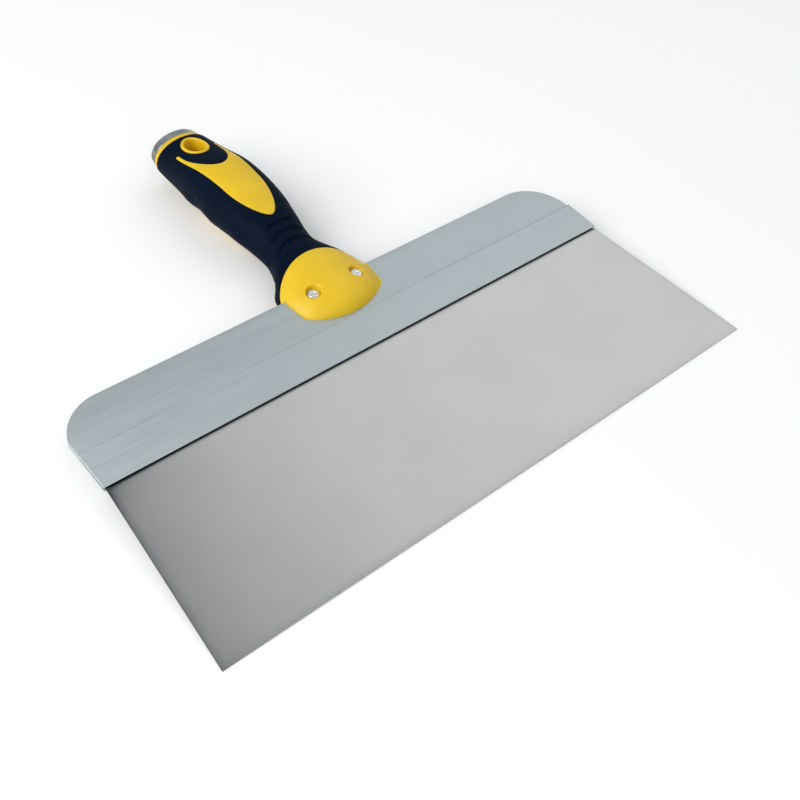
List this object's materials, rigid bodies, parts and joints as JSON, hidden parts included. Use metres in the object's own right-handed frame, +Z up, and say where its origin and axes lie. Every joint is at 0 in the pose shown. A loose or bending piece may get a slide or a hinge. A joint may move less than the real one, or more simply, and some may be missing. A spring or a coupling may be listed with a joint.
{
  "type": "drywall taping knife",
  "caption": "Wide drywall taping knife: flared steel blade in an aluminium backing strip, with a riveted two-colour soft-grip handle, hang hole and steel butt cap.",
  "frame": {"origin": "on the bench, under the middle of the knife's plan, with the knife lying on its back on the blade's working edge and the back of the collar", "axes": "+X along the strip and the working edge, +Y up the handle away from the blade, +Z up out of the front face; the blade's plane is tilted 4.9 degrees about X, as it lies"},
  "size_m": [0.305, 0.2644, 0.0325],
  "materials": {
    "blade_steel": "fine brushed",
    "strip_aluminium": "satin, drawn lengthwise",
    "core_yellow": "semi-gloss moulded",
    "grip_navy": "matt soft-touch",
    "rivet_metal": "bright",
    "cap_steel": "polished plated steel"
  },
  "bodies": {
    "root": {"blade": "blade_steel", "backing_strip": "strip_aluminium", "handle_core": "core_yellow", "soft_grip": "grip_navy", "rivet_left": "rivet_metal", "rivet_right": "rivet_metal", "butt_cap": "cap_steel"}
  },
  "joints": []
}
